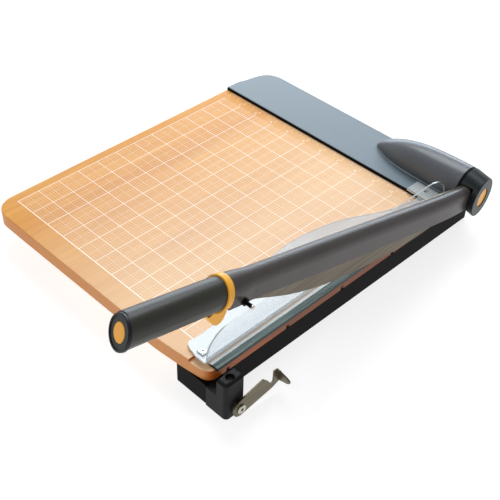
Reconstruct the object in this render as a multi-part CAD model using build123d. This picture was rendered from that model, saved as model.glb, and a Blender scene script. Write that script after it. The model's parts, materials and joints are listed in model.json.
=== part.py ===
from build123d import *
import os
from math import asin, atan2, cos, degrees, hypot, radians, sin

os.makedirs("parts", exist_ok=True)

# Guillotine paper cutter with a 12 inch square cutting area.
# X runs across the board towards the cutting edge, Y from the handle end
# to the hinge end, Z up.  All lengths are in millimetres.  The pieces are
# drawn about the middle of the board and are moved at the end, so that the
# origin is on the table under the middle of the whole footprint.

# ---- driving dimensions -------------------------------------------------
BOARD_X0 = -158.0         # left edge of the board
BOARD_X1 = 158.0          # right edge, beside the cut
BOARD_Y0 = -194.5         # near edge
BOARD_Y1 = 196.5          # far edge
BOARD_TOP = 40.0          # height of the cutting surface above the table
BOARD_T = 15.2            # board thickness
PAD_T = 0.8               # rubber pads under everything that stands
CUT_X = 160.6             # cutting plane = outer edge of the bed blade

BAR_Y0 = 134.0            # front of the backstop
BAR_T = 3.4               # bar thickness on top of the board
FENCE_T = 1.2             # black strip along the front of the bar
STEP_X0 = 135.2           # inner edge of the rebate along the cutting edge
STEP_DEEP = 3.0

BLADE_T = 2.0             # moving blade thickness
BLADE_GAP = 0.05          # moving blade to bed blade

PIVOT_Y = 173.0
PIVOT_Z = 54.4
ARM_REST = 14.0           # arm angle above horizontal as modelled
LINE_Y = 173.7            # start of the arm's centre line on the level arm
LINE_Z = 51.7
ARM_X = 170.8             # centre line of the handle, across
ARM_END = 472.7           # along the centre line to the end of the handle
GRIP_UP = 0.75            # handle centre above the arm's centre line
RING_L0 = 370.7           # orange ring, from and to along the centre line
RING_L1 = 376.6
RING_R = 15.15
RING_LEAN = 12.5          # the ring is cut at a slant: up and sideways
RING_TURN = 2.7
END_LEAN = 10.0           # so is the end of the handle
END_TURN = 14.0
GRIP_R0 = 13.7            # handle radius at the ring
GRIP_R1 = 14.2            # handle radius at the free end
END_R = 14.5              # end cap radius

STUD_L = 355.5            # locking stud, along the centre line
STUD_H = -5.5             # locking stud below the centre line
STUD_R = 1.8
ARM_CLOSED = 0.25         # arm angle when the latch can take the stud

BLOCK_X0 = 171.6          # tower of the latch block
BLOCK_X1 = 183.4
BLOCK_Y0 = -191.5
BLOCK_Y1 = -171.0
BLOCK_TOP = 43.4

RIVET_Y = -177.7
RIVET_Z = 10.0
LATCH_X0 = 186.4
LATCH_T = 1.4
LATCH_REST = 8.0          # latch bar angle above horizontal as modelled
TAB_X1 = 202.0            # outer end of the thumb tab

FIT = 0.05                # running clearance of pins in their holes
OVER = 1.0                # how far a cutting shape reaches past the piece

BEAM_X0 = CUT_X + BLADE_GAP + BLADE_T
BOARD_BOT = BOARD_TOP - BOARD_T
BAR_TOP = BOARD_TOP + BAR_T


# ---- helpers ------------------------------------------------------------
def box(x0, x1, y0, y1, z0, z1):
    """Box between two corners."""
    size = Box(x1 - x0, y1 - y0, z1 - z0)
    return Pos((x0 + x1) / 2, (y0 + y1) / 2, (z0 + z1) / 2) * size


def rod_x(x0, x1, y, z, r):
    """Round bar along X."""
    return Pos((x0 + x1) / 2, y, z) * Rot(0, 90, 0) * Cylinder(r, x1 - x0)


def rod_y(y0, y1, x, z, r):
    """Round bar along Y."""
    return Pos(x, (y0 + y1) / 2, z) * Rot(90, 0, 0) * Cylinder(r, y1 - y0)


def rod_z(z0, z1, x, y, r):
    """Round bar along Z."""
    return Pos(x, y, (z0 + z1) / 2) * Cylinder(r, z1 - z0)


def plate_x(points, x0, x1):
    """Flat piece standing in a YZ plane; points are (y, z)."""
    wire = Polyline(*[(x0, y, z) for y, z in points], close=True)
    return extrude(make_face(wire), amount=x1 - x0, dir=(1, 0, 0))


def arm_at(length, height=0.0):
    """Y and Z on the level arm, by place along its centre line and height."""
    return LINE_Y - length, LINE_Z + height


def raise_arm(piece):
    """Turn a piece built on the level arm up to the modelled angle."""
    turn = Rot(-ARM_REST, 0, 0)
    return Pos(0, PIVOT_Y, PIVOT_Z) * turn * Pos(0, -PIVOT_Y, -PIVOT_Z) * piece


def tip_latch(piece):
    """Turn a piece built on the level latch up to the modelled angle."""
    turn = Rot(LATCH_REST, 0, 0)
    return Pos(0, RIVET_Y, RIVET_Z) * turn * Pos(0, -RIVET_Y, -RIVET_Z) * piece


def slanted(length, lean, turn):
    """Frame on the handle's centre; its -Y side faces the free end."""
    y, z = arm_at(length, GRIP_UP)
    return Pos(ARM_X, y, z) * Rot(-lean, 0, -turn)


def beyond(length, lean, turn, back=0.0):
    """Everything on the free side of a slanted cut through the handle."""
    reach = 160.0
    return slanted(length, lean, turn) * Pos(0, back - reach / 2, 0) * Box(reach, reach, reach)


def round_top(piece, radius):
    """Round the edges of the highest flat face."""
    return fillet(piece.faces().sort_by(Axis.Z)[-1].edges(), radius)


HEAD_T = 2.4
SLOT = 0.4


def screw_blank(x, y, head_z, down, length, r_head=3.6, r_thread=1.9):
    """Countersunk screw along Z without its cross; down = -1 points it downwards."""
    head = Cone(r_head, r_thread, HEAD_T) if down > 0 else Cone(r_thread, r_head, HEAD_T)
    head = Pos(x, y, head_z + down * HEAD_T / 2) * head
    tip_z = head_z + down * length
    return head + rod_z(min(head_z, tip_z), max(head_z, tip_z), x, y, r_thread)


def wood_screw(x, y, head_z, down, length, r_head=3.6, r_thread=1.9):
    """Countersunk screw along Z with a cross in its head."""
    cross = box(x - 2, x + 2, y - SLOT, y + SLOT, head_z - 0.9, head_z + 0.9)
    cross += box(x - SLOT, x + SLOT, y - 2, y + 2, head_z - 0.9, head_z + 0.9)
    return screw_blank(x, y, head_z, down, length, r_head, r_thread) - cross


def cap_screw_up(x, y, z0, length):
    """Pan head screw driven upwards, head resting at z0."""
    head = rod_z(z0 - HEAD_T, z0, x, y, 3.5)
    head -= box(x - 2, x + 2, y - SLOT, y + SLOT, z0 - 3, z0 - 1.6)
    head -= box(x - SLOT, x + SLOT, y - 2, y + 2, z0 - 3, z0 - 1.6)
    return head + rod_z(z0, z0 + length, x, y, 1.9)


NODES = {}


def keep(name, *pieces):
    """Remember the pieces of one node."""
    NODES[name] = pieces


# ---- positions of the fasteners ----------------------------------------
BED_SCREWS = [(154.6, y) for y in (-165.0, -90.0, -15.0, 60.0, 120.0)]
RAIL_SCREWS = [(138.0, y) for y in (-150.0, -40.0, 70.0, 145.0)]
BAR_SCREWS = [(x, 181.0) for x in (-136.0, -45.0, 28.0)]
BRACKET_SCREWS = [(132.0, 164.0), (132.0, 182.0)]
FEET = [(-128.0, -140.0), (-128.0, 150.0)]
RAIL_PADS = [(138.0, -179.0), (138.0, 177.0)]
GUARD_NEAR = (139.2, -177.0)
GUARD_FAR = (132.0, 142.5)
BORE_R = 1.9              # hole for a screw shank
SINK_R = 3.9              # room for a pan head
SINK_DEEP = 4.5


# ---- base board ---------------------------------------------------------
def board_outline():
    """Outline of the board: near edge curving into the cutting corner."""
    near_r = 22.0
    near_left = RadiusArc((BOARD_X0, BOARD_Y0 + near_r), (BOARD_X0 + near_r, BOARD_Y0), -near_r)
    near = Line(near_left @ 1, (87.0, BOARD_Y0))
    corner = Spline(near @ 1, (109.0, -193.2), (127.0, -191.5), (145.0, -189.2), (151.5, -187.8),
                    (155.6, -185.0), (157.5, -181.8), (BOARD_X1, -178.0),
                    tangents=((1, 0), (0, 1)))
    right = Line(corner @ 1, (BOARD_X1, BOARD_Y1))
    far = Line(right @ 1, (-127.0, BOARD_Y1))
    shoulder = Spline(far @ 1, (-137.5, 194.5), (-144.6, 190.4), (-149.2, 184.0), (-152.0, 175.5),
                      (-155.2, 159.6), (BOARD_X0, 136.0), tangents=((-1, 0), (0, -1)))
    left = Line(shoulder @ 1, near_left @ 0)
    return make_face(near_left + near + corner + right + far + shoulder + left)


board = Pos(0, 0, BOARD_BOT) * extrude(board_outline(), BOARD_T)
board = round_top(board, 0.8)
board = chamfer(board.faces().sort_by(Axis.Z)[0].edges(), 0.6)
rebate = box(STEP_X0, CUT_X, BOARD_Y0 - OVER, BAR_Y0, BOARD_TOP - STEP_DEEP, BOARD_TOP + OVER)
board -= rebate
BED_X0 = 149.6
BED_Y0 = -180.0
BED_DEEP = 4.6
board -= box(BED_X0, CUT_X, BED_Y0, BAR_Y0, BOARD_TOP - BED_DEEP, BOARD_TOP)
for x, y in BED_SCREWS:
    board -= rod_z(BOARD_BOT - OVER, BOARD_TOP, x, y, 2.0)
    board -= rod_z(BOARD_BOT - OVER, BOARD_BOT + SINK_DEEP, x, y, SINK_R)
for x, y in RAIL_SCREWS + FEET:
    board -= rod_z(BOARD_BOT - OVER, BOARD_BOT + 9.5, x, y, BORE_R)
for x, y in BAR_SCREWS:
    board -= rod_z(BOARD_BOT - OVER, BOARD_TOP + OVER, x, y, BORE_R)
    board -= rod_z(BOARD_BOT - OVER, BOARD_BOT + SINK_DEEP, x, y, SINK_R)
for x, y in BRACKET_SCREWS:
    board -= rod_z(BOARD_TOP - 12, BOARD_TOP + OVER, x, y, BORE_R)
board -= rod_z(BOARD_TOP - 12, BOARD_TOP + OVER, *GUARD_NEAR, 1.6)
board -= rod_z(BOARD_TOP - 9, BOARD_TOP + OVER, *GUARD_FAR, 1.6)
keep("base_board", board)

# ---- backstop bar with its black fence edge -----------------------------
bar = Pos(0, 0, BOARD_TOP) * extrude(board_outline(), BAR_T)
bar -= box(BOARD_X0 - OVER, BOARD_X1 + OVER, BOARD_Y0 - OVER, BAR_Y0 + FENCE_T,
           BOARD_TOP - OVER, BAR_TOP + OVER)
bar = round_top(bar, 0.6)
WELL = (124.0, 157.6, 188.4)     # hollow under the hinge pod: X from, Y from and to
bar -= box(WELL[0], BOARD_X1 + OVER, WELL[1], WELL[2], BOARD_TOP - OVER, BAR_TOP + OVER)
for x, y in BAR_SCREWS:
    bar -= rod_z(BOARD_TOP - OVER, BOARD_TOP + 2.6, x, y, BORE_R)
bar -= rod_z(BOARD_TOP - OVER, BAR_TOP + OVER, *GUARD_FAR, 1.6)
keep("backstop_bar", bar)

keep("backstop_fence",
     box(BOARD_X0 + 0.4, 149.0, BAR_Y0, BAR_Y0 + FENCE_T, BOARD_TOP, BAR_TOP - 0.3))

# ---- hinge bracket inside the pod ---------------------------------------
BOSS_R = 10.0
SHAFT_R = 5.0
PLATE = 3.0
EAR_R = 11.4
EAR_X0 = 151.0
EAR_X1 = 157.0
bracket = box(126.0, EAR_X1, 159.0, 187.0, BOARD_TOP, BOARD_TOP + PLATE)
bracket += box(EAR_X0, EAR_X1, PIVOT_Y - EAR_R, PIVOT_Y + EAR_R, BOARD_TOP + PLATE, PIVOT_Z)
bracket += rod_x(EAR_X0, EAR_X1, PIVOT_Y, PIVOT_Z, EAR_R)
bracket += rod_x(EAR_X1, CUT_X, PIVOT_Y, PIVOT_Z, BOSS_R)
bracket -= rod_x(EAR_X0 - OVER, CUT_X + OVER, PIVOT_Y, PIVOT_Z, SHAFT_R)
for x, y in BRACKET_SCREWS:
    bracket -= screw_blank(x, y, BOARD_TOP + PLATE, -1, 14.0)
keep("hinge_bracket", bracket)
keep("bracket_screws", *[wood_screw(x, y, BOARD_TOP + PLATE, -1, 14.0)
                         for x, y in BRACKET_SCREWS])

# ---- pivot bolt, spring and nut -----------------------------------------
SPRING_X0 = 128.0
SPRING_X1 = 149.4
WASHER_T = 1.6
NUT_T = 5.0
NUT_X0 = SPRING_X0 - WASHER_T - NUT_T
HEAD_X0 = 171.4           # bolt head, outside the arm
HUB_X1 = 171.2            # outer face of the arm's barrel
bolt = rod_x(NUT_X0 - 0.4, HEAD_X0, PIVOT_Y, PIVOT_Z, SHAFT_R)
bolt += rod_x(HEAD_X0, HEAD_X0 + 4.0, PIVOT_Y, PIVOT_Z, 8.5)
hexagon = Pos(HEAD_X0 + 1.0, PIVOT_Y, PIVOT_Z) * Rot(0, 90, 0)
bolt -= hexagon * extrude(RegularPolygon(3.0, 6), 3.5)
keep("pivot_bolt", bolt)


def washer_x(x0, x1, r_out, r_in):
    """Flat ring around the pivot."""
    return (rod_x(x0, x1, PIVOT_Y, PIVOT_Z, r_out)
            - rod_x(x0 - OVER, x1 + OVER, PIVOT_Y, PIVOT_Z, r_in))


keep("spring_washers",
     washer_x(SPRING_X0 - WASHER_T, SPRING_X0, 8.4, SHAFT_R + 2 * FIT),
     washer_x(SPRING_X1, SPRING_X1 + WASHER_T, 8.4, SHAFT_R + 2 * FIT))

nut = Pos(NUT_X0, PIVOT_Y, PIVOT_Z) * Rot(0, 90, 0) * extrude(RegularPolygon(8.5, 6), NUT_T)
nut -= rod_x(NUT_X0 - OVER, NUT_X0 + NUT_T + OVER, PIVOT_Y, PIVOT_Z, SHAFT_R)
keep("pivot_nut", nut)

WIRE_R = 1.1
COIL_R = 7.1
TURNS = 5
coil_len = SPRING_X1 - SPRING_X0 - 2 * WIRE_R
helix = Helix(pitch=coil_len / TURNS, height=coil_len, radius=COIL_R)
coil = sweep(Plane(helix @ 0, z_dir=helix % 0) * Circle(WIRE_R), path=helix)
keep("thrust_spring", Pos(SPRING_X0 + WIRE_R, PIVOT_Y, PIVOT_Z) * Rot(0, 90, 0) * coil)

# ---- hinge pod ----------------------------------------------------------
POD_X0 = 41.3             # nose
POD_X1 = CUT_X - 0.2
POD_HALF = 17.2           # half width on the bar
POD_H = 31.7              # height above the bar at the hub
POD_WALL = 2.2
POD_STATIONS = (41.8, 43.0, 45.5, 49.5, 55.0, 63.0, 74.0, 88.0, 106.0, 130.0, POD_X1)
LIP_W = 1.0               # lip around the foot of the pod
LIP_T = 0.7


def pod_size(x):
    """Half width on the bar and height above it."""
    back = 1 - (x - POD_X0) / (POD_X1 - POD_X0)
    return POD_HALF * (1 - back ** 5) ** 0.935, POD_H * (1 - back ** 3.07) ** 0.69


def pod_body(stations, inset):
    """Bullet shaped body lying on the bar; inset > 0 gives its hollow."""
    faces = []
    for x in stations:
        half, high = pod_size(x)
        half -= LIP_W + inset
        high -= inset
        foot = [(x, PIVOT_Y - half, BAR_TOP), (x, PIVOT_Y + half, BAR_TOP)]
        over = ThreePointArc(foot[0], (x, PIVOT_Y, BAR_TOP + high), foot[1])
        faces.append(make_face(over + Line(foot[1], foot[0])))
    return loft(faces)


pod = pod_body([43.0, 44.2] + list(POD_STATIONS[2:]), 0.0)
lip = [(x, pod_size(x)[0]) for x in POD_STATIONS]
side = Spline(*[(x, PIVOT_Y - half) for x, half in lip])
other = Spline(*[(x, PIVOT_Y + half) for x, half in reversed(lip)])
rim = make_face(side + Line(side @ 1, other @ 0) + other + Line(other @ 1, side @ 0))
pod += Pos(0, 0, BAR_TOP) * extrude(rim, LIP_T)
pod -= pod_body((55.0, 63.0, 74.0, 88.0, 106.0, 130.0, POD_X1 - 2.0), POD_WALL)
pod -= rod_x(POD_X1 - 5, POD_X1 + OVER, PIVOT_Y, PIVOT_Z, 12.6)
pod -= box(150.0, POD_X1 + OVER, PIVOT_Y - 12.6, PIVOT_Y + 12.6, BAR_TOP - OVER, PIVOT_Z)
keep("hinge_pod", pod)

# ---- bed blade ----------------------------------------------------------
bed = box(BED_X0, CUT_X, BED_Y0, BAR_Y0, BOARD_TOP - BED_DEEP, BOARD_TOP)
bed -= box(BOARD_X1, CUT_X + OVER, BED_Y0 - OVER, BAR_Y0 + OVER, 0, BOARD_TOP - 3.4)
inner_edge = bed.edges().filter_by(Axis.Y).group_by(Axis.Z)[-1].sort_by(Axis.X)[:1]
bed = chamfer(inner_edge, 1.4, 4.0)
for x, y in BED_SCREWS:
    bed -= rod_z(BOARD_TOP - BED_DEEP - OVER, BOARD_TOP - 1.2, x, y, BORE_R)
keep("bed_blade", bed)
keep("bed_blade_screws", *[cap_screw_up(x, y, BOARD_BOT + SINK_DEEP, BOARD_T - SINK_DEEP - 1.4)
                           for x, y in BED_SCREWS])
keep("bar_screws", *[cap_screw_up(x, y, BOARD_BOT + SINK_DEEP, BOARD_T - SINK_DEEP + 2.4)
                     for x, y in BAR_SCREWS])

# ---- clear finger guard -------------------------------------------------
PLATE_Z0 = BOARD_TOP + 1.0
PLATE_T = 2.0
FOOT_T = 2.6
FIN_X = 149.2
FIN_T = 1.6
FIN_LOW = PLATE_Z0 + 0.5
edge = Spline((121.0, -176.0), (122.6, -166.0), (121.5, -150.0), (113.0, -115.0), (99.5, -75.0),
              (91.5, -39.0), (90.8, -3.0), (94.5, 20.5), (101.5, 46.5), (111.0, 67.0),
              (121.0, 87.5), (128.5, 110.5), (131.0, 131.0))
back = Polyline(edge @ 1, (131.0, 133.6), (150.0, 133.6), (150.0, -184.6), (137.5, -184.8))
nose = Spline(back @ 1, (130.5, -183.0), (124.2, -180.8), edge @ 0)
guard = Pos(0, 0, PLATE_Z0) * extrude(make_face(edge + back + nose), PLATE_T)
FIN_NEAR = [(-182.0, FIN_LOW), (-181.2, 50.6), (-178.6, 57.6), (-174.7, 62.6), (-169.6, 66.6),
            (-163.2, 69.5), (-156.0, 70.9), (-146.0, 71.8)]
FIN_FAR = [(118.0, 74.2), (128.0, 73.6), (136.5, 71.0), (143.5, 65.8), (148.6, 58.6),
           (151.2, 50.6), (151.8, BAR_TOP + 0.1)]
fin_near = Spline(*[(0, y, z) for y, z in FIN_NEAR])
fin_far = Spline(*[(0, y, z) for y, z in FIN_FAR])
fin_rest = Polyline(fin_far @ 1, (0, 133.0, BAR_TOP + 0.1), (0, 133.0, FIN_LOW), fin_near @ 0)
fin = make_face(fin_near + Line(fin_near @ 1, fin_far @ 0) + fin_far + fin_rest)
guard += Pos(FIN_X - FIN_T / 2, 0, 0) * extrude(fin, amount=FIN_T, dir=(1, 0, 0))
FIN_X1 = FIN_X + FIN_T / 2
guard += box(116.0, FIN_X1, 133.0, 150.5, BAR_TOP, BAR_TOP + FOOT_T)
guard += box(131.0, FIN_X1, 131.6, 133.6, PLATE_Z0, BAR_TOP + FOOT_T)
boss_x, boss_y = GUARD_NEAR
BOSS_TOP = PLATE_Z0 + 3.4
guard += box(boss_x - 4, boss_x + 4, boss_y - 4, boss_y + 4, BOARD_TOP - STEP_DEEP, BOSS_TOP)
guard -= screw_blank(boss_x, boss_y, BOSS_TOP, -1, 14.0, 3.0, 1.6)
guard -= screw_blank(*GUARD_FAR, BAR_TOP + FOOT_T, -1, 12.0, 3.0, 1.6)
keep("finger_guard", guard)
keep("guard_screws",
     wood_screw(boss_x, boss_y, BOSS_TOP, -1, 14.0, 3.0, 1.6),
     wood_screw(*GUARD_FAR, BAR_TOP + FOOT_T, -1, 12.0, 3.0, 1.6))

# ---- side rail, feet and pads -------------------------------------------
RAIL_X0 = 118.5
RAIL_X1 = 158.0
RAIL_Y0 = -190.8
RAIL_Y1 = 190.0
RAIL_WALL = 3.0
RAIL_SOLID = 26.0         # solid length at either end
PIN_Z = 12.0
PIN_R = 1.6
PIN_YS = (-186.5, -175.0)
rail = box(RAIL_X0, RAIL_X1, RAIL_Y0, RAIL_Y1, PAD_T, BOARD_BOT)
rail = fillet(rail.edges().filter_by(Axis.Z), 2.0)
rail = fillet(rail.faces().sort_by(Axis.Z)[0].edges(), 0.8)
rail -= box(RAIL_X0 + RAIL_WALL, RAIL_X1 - RAIL_WALL, RAIL_Y0 + RAIL_SOLID, RAIL_Y1 - RAIL_SOLID,
            PAD_T - OVER, BOARD_BOT - RAIL_WALL)
for x, y in RAIL_SCREWS:
    rail -= rod_z(BOARD_BOT - RAIL_WALL - OVER, BOARD_BOT + OVER, x, y, BORE_R)
for y in PIN_YS:
    rail -= rod_x(RAIL_X1 - 14, RAIL_X1 + OVER, y, PIN_Z, PIN_R)
keep("side_rail", rail)
keep("rail_screws", *[cap_screw_up(x, y, BOARD_BOT - RAIL_WALL, 12.0) for x, y in RAIL_SCREWS])

LEG_HALF = 15.0
legs = []
for x, y in FEET:
    leg = box(x - LEG_HALF, x + LEG_HALF, y - LEG_HALF, y + LEG_HALF, PAD_T, BOARD_BOT)
    leg = fillet(leg.edges().filter_by(Axis.Z), 5.0)
    leg = fillet(leg.faces().sort_by(Axis.Z)[0].edges(), 0.8)
    leg -= rod_z(0, BOARD_BOT + OVER, x, y, BORE_R)
    leg -= rod_z(0, BOARD_BOT - RAIL_WALL, x, y, SINK_R)
    legs.append(leg)
keep("left_feet", *legs)
keep("foot_screws", *[cap_screw_up(x, y, BOARD_BOT - RAIL_WALL, 12.0) for x, y in FEET])

pads = [rod_z(0, PAD_T, x, y, 11.0) for x, y in FEET]
pads += [rod_z(0, PAD_T, x, y, 9.0) for x, y in RAIL_PADS]
keep("foot_pads", *pads)

# ---- latch block at the handle end of the rail --------------------------
LEDGE_TOP = BOARD_BOT - 0.3
block = box(RAIL_X1, BLOCK_X1, BLOCK_Y0, BLOCK_Y1, PAD_T, LEDGE_TOP)
block += box(BLOCK_X0, BLOCK_X1, BLOCK_Y0, BLOCK_Y1, LEDGE_TOP, BLOCK_TOP)
upright = block.edges().filter_by(Axis.Z)
outer = upright.filter_by_position(Axis.X, BLOCK_X1 - 0.1, BLOCK_X1 + 0.1).sort_by(Axis.Y)
block = fillet(outer[:1], 4.5)
rim = block.faces().sort_by(Axis.Z)[-1].edges().sort_by(Axis.X)[-1:]
block = chamfer(rim, 1.4, 3.0)
HOLE_X = 176.6
HOLE_Y = -180.6
HOLE_R = 4.2
HOLE_DEEP = 12.0
block -= rod_z(BLOCK_TOP - HOLE_DEEP, BLOCK_TOP + OVER, HOLE_X, HOLE_Y, HOLE_R)
block -= rod_x(BLOCK_X1 - 11, BLOCK_X1 + OVER, RIVET_Y, RIVET_Z, 2.0)
for y in PIN_YS:
    block -= rod_x(RAIL_X1 - OVER, RAIL_X1 + 6, y, PIN_Z, PIN_R)
keep("latch_block", block)
keep("stop_plug", rod_z(BLOCK_TOP - HOLE_DEEP, BLOCK_TOP - 4.0, HOLE_X, HOLE_Y, HOLE_R))
keep("block_pins", *[rod_x(RAIL_X1 - 13, RAIL_X1 + 6, y, PIN_Z, PIN_R) for y in PIN_YS])

# ---- latch --------------------------------------------------------------
closed = radians(ARM_CLOSED)
stud_y, stud_z = arm_at(STUD_L, STUD_H)
shut_y = PIVOT_Y + (stud_y - PIVOT_Y) * cos(closed) + (stud_z - PIVOT_Z) * sin(closed)
shut_z = PIVOT_Z - (stud_y - PIVOT_Y) * sin(closed) + (stud_z - PIVOT_Z) * cos(closed)
REACH = hypot(shut_y - RIVET_Y, shut_z - RIVET_Z)
NOTCH_V = 1.4             # notch centre above the line through the rivet
NOTCH_U = (REACH ** 2 - NOTCH_V ** 2) ** 0.5
LATCHED = degrees(atan2(shut_z - RIVET_Z, shut_y - RIVET_Y) - asin(NOTCH_V / REACH))
NOTCH_R = 2.4
BAR_END = 47.6

outline = [(0, -8.4), (37.5, -8.2), (BAR_END - 0.6, -6.0), (BAR_END, -4.8), (46.6, 9.6), (45.4, 10.6),
           (NOTCH_U + NOTCH_R + 1.6, 11.4), (NOTCH_U + NOTCH_R, 2.6),
           (NOTCH_U + 1.6, NOTCH_V - NOTCH_R), (NOTCH_U - 1.6, NOTCH_V - NOTCH_R),
           (NOTCH_U - NOTCH_R - 1.2, 4.4), (29.4, 11.6), (28.2, 12.4), (6.9, 11.3), (-1.5, 9.2)]
latch = plate_x([(RIVET_Y + u, RIVET_Z + v) for u, v in outline], LATCH_X0, LATCH_X0 + LATCH_T)
latch += rod_x(LATCH_X0, LATCH_X0 + LATCH_T, RIVET_Y, RIVET_Z + 0.2, 8.6)
latch -= rod_x(LATCH_X0 - OVER, LATCH_X0 + LATCH_T + OVER, RIVET_Y, RIVET_Z, 2.5 + FIT)
tab_y = RIVET_Y + BAR_END - LATCH_T - 0.4
tab_edge = Spline((LATCH_X0 + LATCH_T + 2.0, tab_y, RIVET_Z + 9.6),
                  (TAB_X1 - 6.0, tab_y, RIVET_Z + 7.2), (TAB_X1 - 1.2, tab_y, RIVET_Z + 4.6),
                  (TAB_X1, tab_y, RIVET_Z + 2.4), (TAB_X1 - 1.2, tab_y, RIVET_Z + 0.2),
                  (TAB_X1 - 6.0, tab_y, RIVET_Z - 2.4),
                  (LATCH_X0 + LATCH_T + 2.0, tab_y, RIVET_Z - 4.6))
tab_root = Polyline(tab_edge @ 1, (LATCH_X0, tab_y, RIVET_Z - 4.8),
                    (LATCH_X0, tab_y, RIVET_Z + 9.8), tab_edge @ 0)
latch += extrude(make_face(tab_edge + tab_root), amount=LATCH_T, dir=(0, 1, 0))
keep("latch_bar", tip_latch(latch))

LATCH_X1 = LATCH_X0 + LATCH_T + 2 * FIT
rivet = rod_x(BLOCK_X1 - 10, LATCH_X1, RIVET_Y, RIVET_Z, 2.0)
rivet += rod_x(BLOCK_X1, LATCH_X1, RIVET_Y, RIVET_Z, 2.5)
rivet += rod_x(LATCH_X1, LATCH_X1 + 1.6, RIVET_Y, RIVET_Z, 4.6)
rivet = fillet(rivet.edges().sort_by(Axis.X)[-1:], 0.7)
rivet -= rod_x(LATCH_X0, LATCH_X1 + 2, RIVET_Y, RIVET_Z, 1.5)
keep("latch_rivet", rivet)

spacer = (rod_x(BLOCK_X1, LATCH_X0 - 2 * FIT, RIVET_Y, RIVET_Z, 5.4)
          - rod_x(BLOCK_X1 - OVER, LATCH_X0 + OVER, RIVET_Y, RIVET_Z, 2.5))
keep("latch_washer", spacer)


# ---- arm beam -----------------------------------------------------------
def beam_section(length, x0, x1, top, bottom):
    """Closed outline across the arm: flat sides, half round top."""
    r = (x1 - x0) / 2
    y, z_top = arm_at(length, top)
    z_bot = LINE_Z + bottom
    side = Line((x0, y, z_bot), (x0, y, z_top - r))
    crown = ThreePointArc((x0, y, z_top - r), (x0 + r, y, z_top), (x1, y, z_top - r))
    other = Line((x1, y, z_top - r), (x1, y, z_bot))
    under = Line((x1, y, z_bot), (x0, y, z_bot))
    return make_face(side + crown + other + under)


STATIONS = [
    # along the arm, outer side, top, bottom
    (14.0, 176.6, 9.4, -12.8),
    (60.0, 180.9, 10.2, -12.4),
    (130.0, 182.0, 11.7, -11.8),
    (220.0, 182.8, 13.7, -10.8),
    (310.0, 183.3, 14.9, -8.6),
    (346.5, 183.6, 15.6, -7.8),
]
WALL = 2.2
HOLLOW = (24.0, 338.0)    # open underneath between these places along the arm
HOLLOW_DEEP = 12.0

beam = loft([beam_section(l, BEAM_X0, x1, top, bottom) for l, x1, top, bottom in STATIONS])
hollow_ls = [HOLLOW[0]] + [station[0] for station in STATIONS[1:-1]] + [HOLLOW[1]]
hollow = loft([beam_section(l, BEAM_X0 + WALL, x1 - WALL, top - WALL, bottom - HOLLOW_DEEP)
               for l, (_, x1, top, bottom) in zip(hollow_ls, STATIONS)])
neck = loft([beam_section(346.5, BEAM_X0, 183.6, 15.6, -7.8),
             beam_section(356.0, BEAM_X0 - 2.6, 184.2, 15.7, -7.9),
             beam_section(378.0, BEAM_X0 - 5.4, 184.8, 15.8, -7.6)])
neck -= beyond(RING_L0, RING_LEAN, RING_TURN)
beam += neck
beam -= hollow
HUB_R = 15.0
BUSH_R = 7.0
beam += rod_x(BEAM_X0, HUB_X1, PIVOT_Y, PIVOT_Z, HUB_R)
beam += box(BEAM_X0, HUB_X1, PIVOT_Y - 26, PIVOT_Y - 10, LINE_Z - 11, LINE_Z + 7)
beam -= rod_x(BEAM_X0 - OVER, 184, PIVOT_Y, PIVOT_Z, BUSH_R)
beam -= rod_x(HUB_X1, 184, PIVOT_Y, PIVOT_Z, HUB_R + 0.2)
TANG_R = 7.0
tang_y0, grip_z = arm_at(455.0, GRIP_UP)
tang_y1, _ = arm_at(336.0)
tang_hole = rod_y(tang_y0, tang_y1, ARM_X, grip_z, TANG_R)
beam -= tang_hole
BLADE_SCREWS = (52.0, 130.0, 215.0, 300.0)
for l in BLADE_SCREWS:
    y, z = arm_at(l, -2.0)
    beam += rod_x(BEAM_X0, BEAM_X0 + 8, y, z, 4.5)
    beam -= rod_x(BEAM_X0 - OVER, BEAM_X0 + 7.2, y, z, BORE_R)
STUD_ROOT = 179.0
beam -= rod_x(STUD_ROOT, 190.0, stud_y, stud_z, STUD_R)
keep("arm_beam", raise_arm(beam))

keep("pivot_bush", raise_arm(washer_x(BEAM_X0, HUB_X1, BUSH_R, SHAFT_R + FIT)))

# ---- hub cap and badge --------------------------------------------------
CAP_X0 = BEAM_X0 + 0.8
BADGE_R = 10.4
BADGE_T = 1.6
BADGE_DEEP = 2.4
root = Plane(origin=(CAP_X0, PIVOT_Y, PIVOT_Z), z_dir=(1, 0, 0))
crown = Plane(origin=(181.8, PIVOT_Y + 0.9, PIVOT_Z - 4.5), z_dir=(1.0, 0.14, 0.0))
cap = loft([root * Circle(20.6), crown * Circle(21.4)])
cap = fillet(cap.edges().sort_by(Axis.X)[-1:], 0.9)
cap -= rod_x(CAP_X0 - OVER, 176.6, PIVOT_Y, PIVOT_Z, HUB_R + 0.3)
cap -= box(CAP_X0 - OVER, 178.2, PIVOT_Y - 30, PIVOT_Y - 8, LINE_Z - 13.2, LINE_Z + 10.4)
cap -= crown * Pos(0, 0, -BADGE_DEEP / 2 + OVER) * Cylinder(BADGE_R, BADGE_DEEP + 2 * OVER)
keep("hub_cap", raise_arm(cap))

badge = Cylinder(BADGE_R, BADGE_T)
badge = fillet(badge.edges().sort_by(Axis.Z)[-1:], 0.5)
badge_place = crown * Pos(0, 0, -BADGE_DEEP + BADGE_T / 2)
keep("hub_badge", raise_arm(badge_place * badge))

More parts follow.
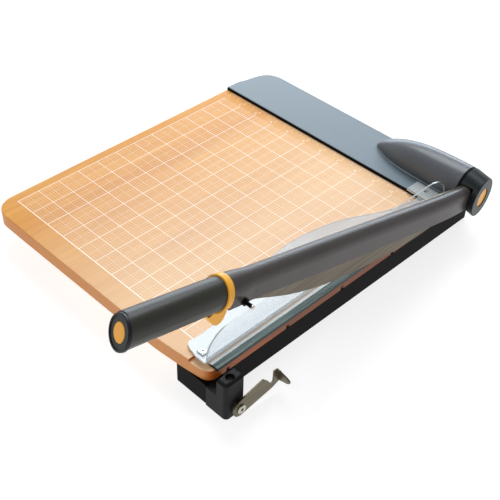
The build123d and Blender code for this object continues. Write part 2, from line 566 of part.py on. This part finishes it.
# ---- moving blade -------------------------------------------------------
BLADE_X0 = CUT_X + BLADE_GAP
EDGE = [(346.0, -21.0), (330.0, -26.4), (300.0, -34.4), (277.0, -40.4), (246.0, -46.2),
        (215.0, -49.2), (185.0, -49.3), (152.0, -48.2), (121.0, -46.0), (91.0, -42.0),
        (62.0, -36.0), (36.0, -28.0), (14.0, -18.0)]
HEEL = [(-6.0, -16.0), (-14.0, 0.0), (-6.0, 9.0), (20.0, 4.5), (346.0, 4.5)]
low = Spline(*[(BLADE_X0, *arm_at(l, h)) for l, h in EDGE])
spine = Polyline(low @ 1, *[(BLADE_X0, *arm_at(l, h)) for l, h in HEEL], low @ 0)
blade = extrude(make_face(low + spine), amount=BLADE_T, dir=(1, 0, 0))
blade -= rod_x(CUT_X - OVER, CUT_X + 5, PIVOT_Y, PIVOT_Z, SHAFT_R + FIT)
sink = Pos(BLADE_X0 + 1.0, 0, 0) * Rot(0, 90, 0)
screws = []
for l in BLADE_SCREWS:
    y, z = arm_at(l, -2.0)
    blade -= rod_x(CUT_X - OVER, CUT_X + 5, y, z, 2.0)
    blade -= Pos(0, y, z) * sink * Cone(4.0, 2.0, 2.0)
    screw = Pos(0, y, z) * sink * Cone(3.9, BORE_R, 2.0)
    screw += rod_x(BLADE_X0 + 1.0, BEAM_X0 + 7, y, z, BORE_R)
    screw -= box(CUT_X - OVER, CUT_X + 0.8, y - 2.2, y + 2.2, z - SLOT, z + SLOT)
    screw -= box(CUT_X - OVER, CUT_X + 0.8, y - SLOT, y + SLOT, z - 2.2, z + 2.2)
    screws.append(raise_arm(screw))
keep("blade", raise_arm(blade))
keep("blade_screws", *screws)

# ---- handle -------------------------------------------------------------
tang = tang_hole - rod_y(tang_y0 - OVER, tang_y1 + OVER, ARM_X, grip_z, TANG_R - 1.8)
keep("handle_tang", raise_arm(tang))

ring = rod_y(LINE_Y - 390, LINE_Y - 355, ARM_X, grip_z, RING_R)
ring &= beyond(RING_L0, RING_LEAN, RING_TURN)
ring -= beyond(RING_L1, RING_LEAN, RING_TURN)
SPUR_X0 = 172.2
SPUR_X1 = 178.0
SPUR = [(366.4, -12.5), (367.2, -18.6), (370.2, -24.0), (374.4, -26.0), (379.4, -23.8),
        (383.8, -19.4), (386.6, -14.4)]
spur_side = Spline(*[(SPUR_X0, *arm_at(l, h)) for l, h in SPUR])
spur_root = Polyline(spur_side @ 1, (SPUR_X0, *arm_at(377.0, -8.0)),
                     (SPUR_X0, *arm_at(370.5, -8.0)), spur_side @ 0)
spur = extrude(make_face(spur_side + spur_root), amount=SPUR_X1 - SPUR_X0, dir=(1, 0, 0))
spur = fillet(spur.edges().filter_by(GeomType.BSPLINE), 0.9)
spur -= rod_y(LINE_Y - 400, LINE_Y - 376, ARM_X, grip_z, GRIP_R0 + 0.5)
ring += spur
ring -= neck
ring -= rod_y(LINE_Y - 400, LINE_Y - 355, ARM_X, grip_z, TANG_R)
keep("finger_ring", raise_arm(ring))

END_T = 3.0               # thickness of the cap that closes the grip
SOCKET_R = 11.0
grip_y0, _ = arm_at(ARM_END + 10)
grip_y1, _ = arm_at(RING_L1 - 10)
grip = Cone(GRIP_R0, GRIP_R1, grip_y1 - grip_y0)
grip = Pos(ARM_X, (grip_y0 + grip_y1) / 2, grip_z) * Rot(90, 0, 0) * grip
grip &= beyond(RING_L1, RING_LEAN, RING_TURN)
grip -= beyond(ARM_END, END_LEAN, END_TURN, END_T)
grip -= rod_y(tang_y0, grip_y1, ARM_X, grip_z, TANG_R)
grip -= rod_y(grip_y0, tang_y0, ARM_X, grip_z, SOCKET_R)
keep("handle_grip", raise_arm(grip))

END_FRAME = slanted(ARM_END, END_LEAN, END_TURN) * Rot(90, 0, 0)
INSERT_R = 8.0
disc = Pos(0, 0, -END_T / 2) * Cylinder(END_R, END_T)
disc = fillet(disc.edges().sort_by(Axis.Z)[-1:], 0.8)
disc -= Pos(0, 0, 0.5) * Cylinder(END_R - 1.9, 2.4)
plug = rod_y(grip_y0, tang_y0 - 2, ARM_X, grip_z, SOCKET_R)
plug -= beyond(ARM_END, END_LEAN, END_TURN, END_T)
cap_end = END_FRAME * disc + plug
cap_end -= END_FRAME * Pos(0, 0, -1.5) * Cylinder(INSERT_R, 5.0)
keep("end_cap", raise_arm(cap_end))

insert = Pos(0, 0, -2.2) * Cylinder(INSERT_R, 3.6)
insert = fillet(insert.edges().sort_by(Axis.Z)[-1:], 1.0)
keep("end_insert", raise_arm(END_FRAME * insert))

STUD_X1 = 192.6
stud = rod_x(STUD_ROOT, STUD_X1, stud_y, stud_z, STUD_R)
stud += rod_x(184.4, 186.0, stud_y, stud_z, 3.4)
keep("lock_stud", raise_arm(stud))

tip = rod_x(STUD_X1, STUD_X1 + 1.8, stud_y, stud_z, STUD_R)
tip = fillet(tip.edges().sort_by(Axis.X)[-1:], 0.7)
keep("stud_tip", raise_arm(tip))

# ---- one STEP file for each node, about the origin of the whole ---------
boxes = [piece.bounding_box() for pieces in NODES.values() for piece in pieces]
middle_x = (min(b.min.X for b in boxes) + max(b.max.X for b in boxes)) / 2
middle_y = (min(b.min.Y for b in boxes) + max(b.max.Y for b in boxes)) / 2
for name, pieces in NODES.items():
    placed = [Pos(-middle_x, -middle_y, 0) * piece for piece in pieces]
    if len(placed) > 1:
        placed = [Compound(children=[Part(piece.wrapped) for piece in placed])]
    export_step(placed[0], f"parts/{name}.step")
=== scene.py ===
import json
import math

import bmesh
import bpy
from mathutils import Matrix, Quaternion, Vector


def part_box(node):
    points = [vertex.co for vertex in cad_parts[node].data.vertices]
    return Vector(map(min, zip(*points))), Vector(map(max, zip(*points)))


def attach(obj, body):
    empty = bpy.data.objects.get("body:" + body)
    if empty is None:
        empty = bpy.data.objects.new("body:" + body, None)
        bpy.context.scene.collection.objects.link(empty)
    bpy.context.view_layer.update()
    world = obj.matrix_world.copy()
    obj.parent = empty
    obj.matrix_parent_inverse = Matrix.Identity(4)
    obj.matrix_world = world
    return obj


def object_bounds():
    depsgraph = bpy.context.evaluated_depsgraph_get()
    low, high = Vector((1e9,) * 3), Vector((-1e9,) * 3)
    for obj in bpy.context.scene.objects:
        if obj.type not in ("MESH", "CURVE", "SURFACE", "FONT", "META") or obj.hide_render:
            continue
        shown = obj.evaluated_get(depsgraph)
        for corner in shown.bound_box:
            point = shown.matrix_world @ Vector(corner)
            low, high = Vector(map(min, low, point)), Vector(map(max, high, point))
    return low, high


# Guillotine paper cutter.  Row frame, metres: X across the board towards the
# cutting edge, Y from the handle end to the hinge end, Z up.

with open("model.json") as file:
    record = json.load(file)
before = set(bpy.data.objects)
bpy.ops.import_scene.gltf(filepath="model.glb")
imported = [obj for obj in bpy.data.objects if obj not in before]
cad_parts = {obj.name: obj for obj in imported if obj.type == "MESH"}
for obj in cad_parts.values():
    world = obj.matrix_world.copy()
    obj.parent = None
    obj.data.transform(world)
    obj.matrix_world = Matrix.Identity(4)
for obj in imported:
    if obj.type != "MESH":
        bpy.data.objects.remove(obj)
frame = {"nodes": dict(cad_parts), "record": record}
cad_low, cad_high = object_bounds()

INCH = 0.0254
MM = 0.001
NODES = frame["nodes"]

# ---- places read from the frame ------------------------------------------
board_low, board_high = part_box("base_board")
bar_low, bar_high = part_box("backstop_bar")
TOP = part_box("bed_blade")[1].z          # the cutting surface
FENCE_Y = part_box("backstop_fence")[0].y     # where paper stops
POD_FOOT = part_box("hinge_pod")[0].z
GUARD_Y0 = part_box("finger_guard")[0].y  # handle end of the guard

# ---- the printed grid -----------------------------------------------------
GRID_SQUARES = 12
GRID_X1 = board_high.x                  # the cut
GRID_X0 = GRID_X1 - GRID_SQUARES * INCH
GRID_Y0 = FENCE_Y - 12.015 * INCH       # first printed line, handle end
GRID_Y1 = FENCE_Y - 0.55 * INCH         # where the lines along Y end
LINES_X1 = GRID_X1 - INCH               # where the lines along X end
RASTER = INCH / 8                       # pitch of the finest lines


# ---- shaders --------------------------------------------------------------
class Shader:
    """A node material under construction."""

    def __init__(self, name, edge=0.0):
        """edge is the radius to which corners look rounded."""
        self.material = bpy.data.materials.new(name)
        self.material.use_nodes = True
        self.tree = self.material.node_tree
        self.tree.nodes.clear()
        self.body = self.add("BsdfPrincipled")
        out = self.tree.nodes.new("ShaderNodeOutputMaterial")
        self.tree.links.new(self.body.outputs["BSDF"], out.inputs["Surface"])
        self.coords = self.add("TexCoord").outputs
        self.rounded = None
        if edge:
            self.rounded = self.add("Bevel", {"Radius": edge}, samples=4).outputs[0]
            self.set(Normal=self.rounded)

    def add(self, kind, inputs=None, **settings):
        """Adds a node; inputs are numbers, tuples or sockets by socket name or index."""
        node = self.tree.nodes.new("ShaderNode" + kind)
        for key, value in settings.items():
            setattr(node, key, value)
        for key, value in (inputs or {}).items():
            self.feed(node.inputs[key], value)
        return node

    def feed(self, socket, value):
        if isinstance(value, bpy.types.NodeSocket):
            self.tree.links.new(value, socket)
        else:
            socket.default_value = value

    def set(self, **values):
        """Sets sockets of the shader itself, such as Base_Color or Roughness."""
        for key, value in values.items():
            self.feed(self.body.inputs[key.replace("_", " ")], value)

    def noise(self, scale, stretch=(1, 1, 1), detail=3.0, rough=0.5, bend=0.0):
        where = self.add("Mapping", {"Vector": self.coords["Object"], "Scale": stretch})
        made = self.add("TexNoise", {"Vector": where.outputs[0], "Scale": scale, "Detail": detail,
                                     "Roughness": rough, "Distortion": bend})
        return made.outputs["Fac"]

    def calc(self, operation, a, b=0.0, clamp=False):
        node = self.add("Math", {0: a, 1: b}, operation=operation, use_clamp=clamp)
        return node.outputs[0]

    def times(self, *factors):
        product = factors[0]
        for factor in factors[1:]:
            product = self.calc("MULTIPLY", product, factor)
        return product

    def span(self, value, low, high, new_low=0.0, new_high=1.0):
        """Maps low..high to new_low..new_high, clamped."""
        node = self.add("MapRange", {"Value": value, "From Min": low, "From Max": high,
                                     "To Min": new_low, "To Max": new_high})
        return node.outputs[0]

    def blend(self, factor, a, b):
        """Mixes two colours."""
        node = self.add("Mix", data_type="RGBA")
        self.feed(node.inputs[0], factor)
        for socket, value in ((node.inputs[6], a), (node.inputs[7], b)):
            self.feed(socket, value if isinstance(value, bpy.types.NodeSocket) else rgba(value))
        return node.outputs[2]

    def axes(self, source="Object"):
        """X, Y and Z of the object coordinates or of the surface normal."""
        return self.add("SeparateXYZ", {0: self.coords[source]}).outputs

    def bump(self, height, strength, distance):
        node = self.add("Bump", {"Height": height, "Strength": strength, "Distance": distance})
        if self.rounded:
            self.feed(node.inputs["Normal"], self.rounded)
        self.set(Normal=node.outputs[0])


def rgba(colour):
    """Linear colour from an sRGB triple of 0-255 or a grey number."""
    if isinstance(colour, (int, float)):
        colour = (colour,) * 3
    linear = []
    for level in colour:
        level /= 255
        linear.append(level / 12.92 if level <= 0.04045 else ((level + 0.055) / 1.055) ** 2.4)
    return (*linear, 1.0)


# ---- materials ------------------------------------------------------------
WHITE = (255, 255, 255)


def comb(s, value, start, pitch):
    """1 on thin lines one pitch apart, else 0."""
    step = s.calc("FRACT", s.calc("DIVIDE", s.calc("SUBTRACT", value, start), pitch))
    return s.span(s.calc("ABSOLUTE", s.calc("SUBTRACT", step, 0.5)), 0.44, 0.47)


def wood(name):
    """Lacquered light hardwood: grain along Y, darker edges, a painted sheen, painted shade along
    the cut, a fine printed raster.
    """
    honey, amber, straw, painted_sheen_tone = (226, 162, 78), (214, 144, 60), (234, 180, 100), (246, 222, 194)
    dark_grain, pore = (198, 124, 46), (160, 92, 34)
    edge, cut_shade_near, cut_shade_far = (204, 122, 34), (196, 98, 34), (122, 54, 22)
    s = Shader(name)
    x, y, z = s.axes()
    grain = s.noise(300, (1.0, 0.035, 1.0), 6, 0.62, 0.25)
    streaks = s.noise(46, (1.0, 0.05, 1.0), 4, 0.55, 0.4)
    cloud = s.noise(9, (1, 0.6, 1))
    pores = s.span(s.noise(1500, (1.0, 0.03, 1.0), 2), 0.66, 0.74)
    tone = s.blend(s.span(streaks, 0.36, 0.66), honey, amber)
    tone = s.blend(s.span(grain, 0.38, 0.68, 0.0, 0.5), tone, dark_grain)
    tone = s.blend(s.span(cloud, 0.40, 0.66, 0.0, 0.30), tone, straw)
    tone = s.blend(s.times(pores, 0.4), tone, pore)
    # painted sheen: the lacquer's reflection, painted as a paler tone away from the left edge
    tone = s.blend(s.span(x, GRID_X0 + INCH, GRID_X1 - 96 * MM, 0.0, 0.42), tone, painted_sheen_tone)
    # the side faces of the board are darker than its top; painted shade darkens the side along
    # the cut, under the arm and blade, deepening away from the handle end
    outward, _, upward = s.axes("Normal")
    side = s.calc("SUBTRACT", 1.0, s.calc("ABSOLUTE", upward), clamp=True)
    tone = s.blend(s.times(side, 0.8), tone, edge)
    cut_side_shade = s.blend(s.span(y, board_low.y + 37 * MM, board_low.y + 107 * MM), cut_shade_near, cut_shade_far)
    tone = s.blend(s.times(s.span(outward, 0.2, 0.8), 0.9), tone, cut_side_shade)
    # the raster lies on a faint white haze
    lines = s.calc("MAXIMUM", comb(s, x, GRID_X0, RASTER), comb(s, y, GRID_Y0, RASTER))
    inside = s.times(s.calc("GREATER_THAN", x, GRID_X0), s.calc("LESS_THAN", x, LINES_X1),
                     s.calc("GREATER_THAN", y, GRID_Y0), s.calc("LESS_THAN", y, GRID_Y1),
                     s.calc("GREATER_THAN", z, TOP - MM))
    tone = s.blend(s.times(inside, 0.05), tone, (250, 226, 206))
    tone = s.blend(s.times(inside, lines, 0.30), tone, (255, 244, 232))
    s.set(Base_Color=tone, Roughness=s.span(grain, 0.3, 0.7, 0.34, 0.44))
    s.set(Specular_IOR_Level=0.2, Coat_Weight=0.15, Coat_Roughness=0.27)
    s.bump(grain, 0.10, 0.2 * MM)
    return s.material


def ink(name):
    """White screen printing under the lacquer."""
    s = Shader(name)
    worn = s.noise(900, rough=0.6)
    s.set(Base_Color=s.blend(s.span(worn, 0.35, 0.65), (255, 248, 236), (250, 234, 212)))
    s.set(Roughness=0.35, Coat_Weight=0.5, Coat_Roughness=0.27)
    return s.material


def satin(s, tone, rough, fleck=900, speck=0.02):
    """Gives a shader the fine orange peel of paint or moulded plastic."""
    fine = s.noise(fleck, rough=0.6)
    s.set(Base_Color=s.blend(s.span(fine, 0.3, 0.7, 0.0, speck), tone, WHITE))
    s.set(Roughness=s.span(fine, 0.3, 0.7, rough - 0.03, rough + 0.04))
    s.bump(fine, 0.08, 0.03 * MM)


def paint(name, colour, dark, rough, fleck=900, speck=0.02, specular=0.5, edge=0.4, ior=1.45):
    """Satin paint or moulded plastic with slight tone changes; edge is in millimetres."""
    s = Shader(name, edge * MM)
    tone = s.blend(s.span(s.noise(14), 0.35, 0.65), colour, dark)
    satin(s, tone, rough, fleck, speck)
    s.set(Specular_IOR_Level=specular, IOR=ior)
    return s.material


def smoked(name):
    """Smoke grey moulding of the hinge housing, with a painted highlight line along its foot."""
    s = Shader(name, 0.4 * MM)
    tone = s.blend(s.span(s.noise(14), 0.35, 0.65), (92, 96, 100), (86, 90, 94))
    # painted highlight: a light line along the foot of the housing
    foot_highlight = s.calc("LESS_THAN", s.axes()[2], POD_FOOT + 0.72 * MM)
    tone = s.blend(s.times(foot_highlight, 0.75), tone, (212, 222, 230))
    satin(s, tone, 0.34)
    s.set(Specular_IOR_Level=0.35, Coat_Weight=0.10, Coat_Roughness=0.12)
    return s.material


def bar_satin(name):
    """Blue-grey satin paint of the backstop bar, deeper towards the hinge."""
    stops = ((bar_low.x, (126, 137, 144)), (bar_high.x - 136 * MM, (119, 131, 139)),
             (bar_high.x - 56 * MM, (108, 124, 134)), (bar_high.x - 16 * MM, (90, 110, 118)))
    s = Shader(name, 0.4 * MM)
    x = s.axes()[0]
    tone = stops[0][1]
    for (before, _), (after, colour) in zip(stops, stops[1:]):
        tone = s.blend(s.span(x, before, after), tone, colour)
    satin(s, tone, 0.36)
    s.set(Specular_IOR_Level=0.35)
    return s.material


def steel(name, colour, dark, rough, along, bevel_highlight=False):
    """Ground or plated metal with fine lines along one axis.

    bevel_highlight paints a highlight on the faces that look towards the board: near white and not
    metallic.
    """
    s = Shader(name, 0.2 * MM)
    stretch = tuple(0.03 if axis == along else 1.0 for axis in range(3))
    lines = s.noise(420, stretch, 5, 0.65)
    cloud = s.noise(22, (1, 0.5, 1))
    tone = s.blend(s.span(lines, 0.3, 0.7), colour, dark)
    tone = s.blend(s.span(cloud, 0.4, 0.7, 0.0, 0.35), tone, dark)
    if bevel_highlight:
        # painted highlight on the bevel that faces the board, near white and not metallic
        highlight_face = s.span(s.times(s.axes("Normal")[0], -1.0), 0.1, 0.2)
        tone = s.blend(highlight_face, tone, (246, 249, 248))
        s.set(Metallic=s.span(highlight_face, 0.0, 1.0, 1.0, 0.0))
    else:
        s.set(Metallic=1.0)
    s.set(Base_Color=tone, Roughness=s.span(lines, 0.3, 0.7, rough - 0.06, rough + 0.08))
    s.bump(lines, 0.15, 0.03 * MM)
    return s.material


def clear(name):
    """Clear moulded plastic: a painted whitish sheen on its faces, painted highlights as milky white
    on its cut edges.
    """
    s = Shader(name)
    marks = s.noise(60, (1, 0.25, 1), bend=0.3)
    _, y, z = s.axes()
    across, _, up = s.axes("Normal")
    # the plate faces up and the fin above it faces across; the rest is rim
    fin = s.calc("GREATER_THAN", z, TOP + 4.5 * MM)
    face = s.calc("ABSOLUTE", s.add("Mix", {0: fin, 2: up, 3: across}).outputs[0])
    rim = s.span(face, 0.5, 0.8, 1.0, 0.0)
    # painted sheen: a whitish layer stands in for the plate's reflection, stronger at the handle end
    sheen_veil = s.times(s.span(y, GUARD_Y0, GUARD_Y0 + 200 * MM, 0.62, 0.36),
                   s.span(marks, 0.3, 0.7, 0.92, 1.0))
    fin_face = s.times(fin, s.calc("SUBTRACT", 1.0, rim))
    cover = s.times(s.calc("MAXIMUM", sheen_veil, s.times(rim, 0.92)), s.span(fin_face, 0, 1, 1.0, 0.3))
    # painted highlights: the cut edges are near white, lighter on the plate than on the fin
    rim_highlight_tone = s.blend(fin, (226, 234, 238), (184, 189, 190))
    s.set(Base_Color=s.blend(rim, (232, 243, 250), rim_highlight_tone), Alpha=cover)
    s.set(Roughness=s.span(marks, 0.3, 0.7, 0.10, 0.16), Specular_IOR_Level=0.8, IOR=1.49)
    return s.material


def rubber(name):
    s = Shader(name)
    fine = s.noise(1200, rough=0.6)
    s.set(Base_Color=s.blend(s.span(fine, 0.3, 0.7), (30, 30, 31), (44, 44, 46)))
    s.set(Roughness=s.span(fine, 0.3, 0.7, 0.7, 0.85))
    s.bump(fine, 0.2, 0.1 * MM)
    return s.material


FINISHES = {
    "board_wood": wood("wood"),
    "bar_paint": bar_satin("bar_satin"),
    "black_trim": paint("trim_black", (7, 6, 6), (11, 10, 9), 0.45, speck=0.004, specular=0.3,
                        ior=1.15),
    "pod_plastic": smoked("pod_smoke"),
    "plain_steel": steel("steel_plain", (170, 170, 168), (130, 130, 128), 0.35, along=0),
    "screw_steel": steel("steel_zinc", (190, 190, 186), (150, 150, 146), 0.3, along=2),
    "bed_steel": steel("steel_bed", (66, 72, 70), (34, 42, 42), 0.24, along=1, bevel_highlight=True),
    "clear_plastic": clear("guard_clear"),
    "rail_black": paint("rail_black", (7, 6, 7), (10, 8, 8), 0.46, speck=0.004, specular=0.3,
                        ior=1.15),
    "pad_rubber": rubber("pad_rubber"),
    "block_plastic": paint("block_black", (12, 12, 13), (18, 18, 19), 0.5, fleck=1500,
                           speck=0.006, edge=0.7, ior=1.25),
    "latch_plated": steel("plate_bright", (215, 212, 200), (165, 161, 150), 0.22, along=0),
    "beam_paint": paint("beam_satin", (70, 64, 62), (64, 58, 56), 0.33, speck=0.01, specular=0.4),
    "bush_bronze": steel("bush_bronze", (180, 132, 76), (140, 98, 56), 0.35, along=0),
    "cap_plastic": paint("cap_teal_grey", (14, 22, 25), (11, 18, 21), 0.38, speck=0.006,
                         specular=0.3, edge=0.6),
    "orange_plastic": paint("orange_satin", (250, 180, 56), (246, 170, 44), 0.34, specular=0.3),
    "blade_coated": steel("blade_coated", (128, 118, 104), (98, 90, 78), 0.42, along=1),
    "tang_aluminium": steel("tang_aluminium", (190, 190, 195), (160, 160, 165), 0.35, along=1),
    "grip_plastic": paint("grip_satin", (48, 46, 39), (42, 41, 34), 0.35, speck=0.008,
                          specular=0.4),
    "latch_steel": steel("latch_olive", (126, 118, 98), (96, 90, 74), 0.36, along=1),
}
BROWNED = steel("steel_browned", (74, 48, 38), (56, 36, 28), 0.5, along=2)
PRINT = ink("print_white")

for part in frame["record"]["subparts"]:
    node = NODES[part["node"]]
    node.data.materials.clear()
    node.data.materials.append(FINISHES[part["material_slot"]])
# the screws of the bed blade are browned, because their heads show beside the wood
NODES["bed_blade_screws"].data.materials[0] = BROWNED


# ---- mesh helpers ---------------------------------------------------------
def piece_from(name, bm, material, body):
    """Makes an object from a bmesh, with its finish, riding on a body."""
    mesh = bpy.data.meshes.new(name)
    bm.to_mesh(mesh)
    bm.free()
    mesh.materials.append(material)
    made = bpy.data.objects.new(name, mesh)
    bpy.context.scene.collection.objects.link(made)
    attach(made, body)


def add_box(bm, low, high):
    """Closed box between two corners."""
    corners = [bm.verts.new((x, y, z)) for x in (low[0], high[0])
               for y in (low[1], high[1]) for z in (low[2], high[2])]
    for ring in ((0, 1, 3, 2), (4, 6, 7, 5), (0, 4, 5, 1), (2, 3, 7, 6), (0, 2, 6, 4), (1, 5, 7, 3)):
        bm.faces.new([corners[i] for i in ring])


# ---- printed grid and ruler -----------------------------------------------
INK_UP = 0.03 * MM                      # the ink stands this far above the wood
INK_UP_CROSSING = 1.3 * INK_UP          # lines along Y pass over the lines along X
INK_DOWN = 0.05 * MM
LINE = 0.62 * MM
FIRST_LINE = 1.5 * LINE                 # the line at the handle end is bold
FINE_LINE = 0.34 * MM
DASH = 0.9 * MM
TICKS_PER_INCH = 16
TICK = 0.3 * MM
BOLD_TICK = 0.45 * MM                   # at inches and half inches
TICK_GAP = 0.1 * MM                     # between the ticks and the fence
TICK_LENGTHS = {16: 0.34, 8: 0.26, 4: 0.20, 2: 0.14, 1: 0.09}   # inches, by what divides the count
FIGURE = 0.2 * INCH                     # height of the figures
FIGURE_ASIDE = 0.06 * INCH              # left of their tick
FIGURE_DOWN = 0.5 * INCH                # from the fence


def ink_bar(bm, x0, x1, y0, y1, up=INK_UP):
    add_box(bm, (x0, y0, TOP - INK_DOWN), (x1, y1, TOP + up))


def printed_lines():
    """Solid lines one inch apart."""
    bm = bmesh.new()
    for i in range(GRID_SQUARES):
        y = GRID_Y0 + i * INCH
        half = (LINE if i else FIRST_LINE) / 2
        ink_bar(bm, GRID_X0 - LINE / 2, LINES_X1, y - half, y + half)
    for i in range(GRID_SQUARES):
        x = GRID_X0 + i * INCH
        ink_bar(bm, x - LINE / 2, x + LINE / 2, GRID_Y0, GRID_Y1, INK_UP_CROSSING)
    piece_from("print_lines", bm, PRINT, "base")


def printed_half_lines():
    """Dashed lines half-way between the solid ones."""
    bm = bmesh.new()
    half = FINE_LINE / 2
    dashes = int((GRID_SQUARES - 1) * INCH / (2 * DASH))
    for i in range(GRID_SQUARES - 1):
        middle = (i + 0.5) * INCH
        x, y = GRID_X0 + middle, GRID_Y0 + middle
        for k in range(dashes):
            start = (2 * k + 0.5) * DASH
            ink_bar(bm, GRID_X0 + start, GRID_X0 + start + DASH, y - half, y + half)
            ink_bar(bm, x - half, x + half, GRID_Y0 + start, GRID_Y0 + start + DASH)
    piece_from("print_half_lines", bm, PRINT, "base")


def tick_length(count):
    """Longest for whole inches, shorter for each halving."""
    return next(inches for every, inches in TICK_LENGTHS.items() if count % every == 0) * INCH


def printed_ticks():
    """Ruler ticks along the backstop."""
    bm = bmesh.new()
    for i in range(TICKS_PER_INCH * (GRID_SQUARES - 1) + 1):
        x = GRID_X0 + i * INCH / TICKS_PER_INCH
        half = (TICK if i % 8 else BOLD_TICK) / 2
        ink_bar(bm, x - half, x + half, FENCE_Y - tick_length(i), FENCE_Y - TICK_GAP)
    piece_from("print_ticks", bm, PRINT, "base")


def printed_figures():
    """Figures 1 to 11 beside the inch ticks."""
    bm = bmesh.new()
    for i in range(1, GRID_SQUARES):
        text = bpy.data.curves.new("figure", "FONT")
        text.body = str(i)
        text.size = FIGURE
        text.align_x = "RIGHT"
        text.extrude = INK_UP
        holder = bpy.data.objects.new("figure", text)
        mesh = bpy.data.meshes.new_from_object(holder)
        place = (GRID_X0 + i * INCH - FIGURE_ASIDE, FENCE_Y - FIGURE_DOWN, TOP)
        mesh.transform(Matrix.Translation(place))
        bm.from_mesh(mesh)
        bpy.data.objects.remove(holder)
        bpy.data.meshes.remove(mesh)
    piece_from("print_figures", bm, PRINT, "base")


printed_lines()
printed_half_lines()
printed_ticks()
printed_figures()


# ---- floor ----------------------------------------------------------------
def floor_white(name):
    """Pale floor with a glow of its own, which evens out the shadows."""
    s = Shader(name)
    s.set(Base_Color=rgba(158), Roughness=0.9, Specular_IOR_Level=0.0)
    s.set(Emission_Color=rgba(WHITE), Emission_Strength=0.80)
    return s.material


def plane(name, size, material):
    bm = bmesh.new()
    bmesh.ops.create_grid(bm, x_segments=1, y_segments=1, size=size / 2)
    mesh = bpy.data.meshes.new(name)
    bm.to_mesh(mesh)
    bm.free()
    mesh.materials.append(material)
    made = bpy.data.objects.new(name, mesh)
    bpy.context.scene.collection.objects.link(made)


plane("floor", 60.0, floor_white("floor_white"))


# ---- light ----------------------------------------------------------------
def area_light(name, azimuth, elevation, distance, size, power, colour):
    """Soft light towards an azimuth (0 is +Y, 90 is +X), aimed at the middle of the cutter."""
    aim = (cad_low + cad_high) / 2
    around, above = math.radians(azimuth), math.radians(elevation)
    towards = Vector((math.sin(around) * math.cos(above), math.cos(around) * math.cos(above),
                      math.sin(above)))
    data = bpy.data.lights.new(name, "AREA")
    data.shape = "RECTANGLE"
    data.size, data.size_y = size
    data.energy = power
    data.color = colour
    light = bpy.data.objects.new(name, data)
    light.location = aim + towards * distance
    light.rotation_mode = "QUATERNION"
    light.rotation_quaternion = (-towards).to_track_quat("-Z", "Y")
    bpy.context.scene.collection.objects.link(light)


area_light("key", azimuth=-38, elevation=56, distance=1.7, size=(1.3, 0.9), power=25,
           colour=(0.92, 0.97, 1.0))
area_light("back", azimuth=-40, elevation=13, distance=1.9, size=(2.0, 0.6), power=22,
           colour=(0.78, 0.89, 1.0))
area_light("front", azimuth=170, elevation=50, distance=2.2, size=(1.2, 0.8), power=9,
           colour=(1.0, 0.95, 0.90))


def studio_air():
    """A world that is bright low down and darker overhead."""
    world = bpy.data.worlds.new("studio")
    world.use_nodes = True
    air = world.node_tree
    background = air.nodes["Background"]
    place = air.nodes.new("ShaderNodeTexCoord")
    split = air.nodes.new("ShaderNodeSeparateXYZ")
    ramp = air.nodes.new("ShaderNodeValToRGB")
    air.links.new(place.outputs["Generated"], split.inputs[0])
    air.links.new(split.outputs[2], ramp.inputs[0])
    air.links.new(ramp.outputs[0], background.inputs["Color"])
    horizon, overhead = ramp.color_ramp.elements
    horizon.position, horizon.color = 0.0, (0.84, 0.92, 1.0, 1.0)
    overhead.position, overhead.color = 0.55, (0.42, 0.42, 0.43, 1.0)
    background.inputs["Strength"].default_value = 0.62
    return world


bpy.context.scene.world = studio_air()

# ---- camera ---------------------------------------------------------------
# It looks down at the cutter from the front right.
CAMERA_PLACE = Vector((board_high.x + 0.4136, board_low.y - 0.3713, 0.6650))
LOOK_AZIMUTH = math.radians(-44.31)
LOOK_DOWN = math.radians(40.99)
ROLL = math.radians(-1.75)

camera_data = bpy.data.cameras.new("camera")
camera_data.sensor_width = 36.0
camera_data.lens = 70.58
camera_data.clip_start = 0.01
camera = bpy.data.objects.new("camera", camera_data)
bpy.context.scene.collection.objects.link(camera)
forward = Vector((math.sin(LOOK_AZIMUTH) * math.cos(LOOK_DOWN),
                  math.cos(LOOK_AZIMUTH) * math.cos(LOOK_DOWN), -math.sin(LOOK_DOWN)))
camera.location = CAMERA_PLACE
camera.rotation_mode = "QUATERNION"
camera.rotation_quaternion = Quaternion(forward, ROLL) @ forward.to_track_quat("-Z", "Y")
bpy.context.scene.camera = camera
bpy.context.scene.view_settings.view_transform = "Standard"
